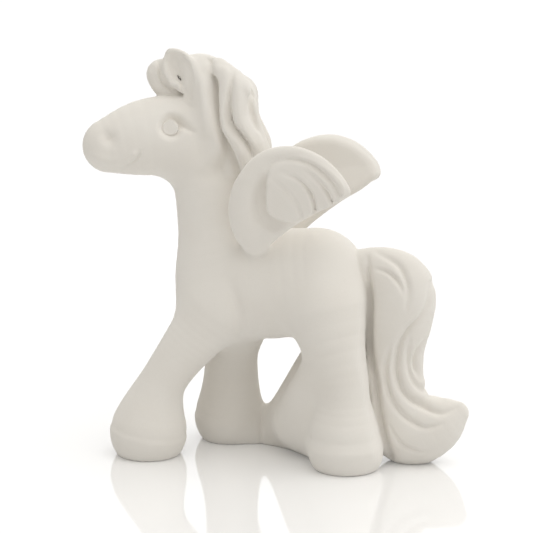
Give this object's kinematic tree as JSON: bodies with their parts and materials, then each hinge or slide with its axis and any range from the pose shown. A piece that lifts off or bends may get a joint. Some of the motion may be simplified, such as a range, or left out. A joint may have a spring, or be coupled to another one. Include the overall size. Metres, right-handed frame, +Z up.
{
  "type": "pegasus figurine",
  "caption": "Unglazed ceramic figurine of a standing winged foal: hollow slip-cast trunk, neck, head, legs and tail, with solid ears, hair and wings luted on.",
  "frame": {"origin": "on the surface that the figurine stands on, under the middle of its overall box", "axes": "+Z up; the foal's trunk faces -X; its left side, which its head is turned to, is towards -Y"},
  "size_m": [0.1348, 0.0514, 0.1473],
  "materials": {
    "bisque": "matte unglazed earthenware, sponged smooth"
  },
  "bodies": {
    "root": {"torso": "bisque", "neck": "bisque", "head": "bisque", "left_ear": "bisque", "right_ear": "bisque", "forelock": "bisque", "mane": "bisque", "left_wing": "bisque", "right_wing": "bisque", "left_foreleg": "bisque", "right_foreleg": "bisque", "left_hind_leg": "bisque", "right_hind_leg": "bisque", "tail": "bisque"}
  },
  "joints": []
}
